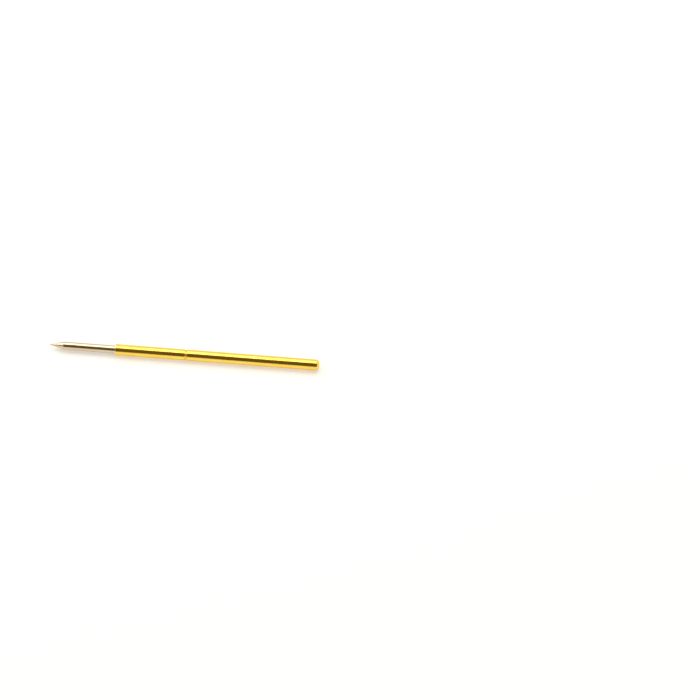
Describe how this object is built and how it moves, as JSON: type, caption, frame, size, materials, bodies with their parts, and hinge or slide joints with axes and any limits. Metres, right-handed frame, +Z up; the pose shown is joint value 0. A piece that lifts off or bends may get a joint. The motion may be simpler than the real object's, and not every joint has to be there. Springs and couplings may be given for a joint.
{
  "type": "pogo pin",
  "caption": "Spring-loaded contact probe: gold-plated straight barrel with a rolled crimp and vented closed end, sprung nickel plunger with a conical point.",
  "frame": {"origin": "centre of the barrel's mouth, on the pin's axis", "axes": "+X along the axis from the mouth to the barrel's closed end, with the plunger's point towards -X; +Z up as the pin lies"},
  "size_m": [0.0333, 0.0014, 0.0014],
  "materials": {
    "gold_plating": "polished gold plate over drawn tube",
    "nickel_plating": "fine turned nickel plate",
    "spring_steel": "drawn wire"
  },
  "bodies": {
    "barrel": {"barrel": "gold_plating", "spring": "spring_steel"},
    "plunger": {"plunger": "nickel_plating"}
  },
  "joints": [
    {"name": "plunger_slide", "type": "slide", "parent": "barrel", "child": "plunger", "axis": [1, 0, 0], "range_m": [0, 0.00635], "stiffness_N_per_m": 326, "springref_m": -0.0012, "deforming": ["spring"]}
  ]
}
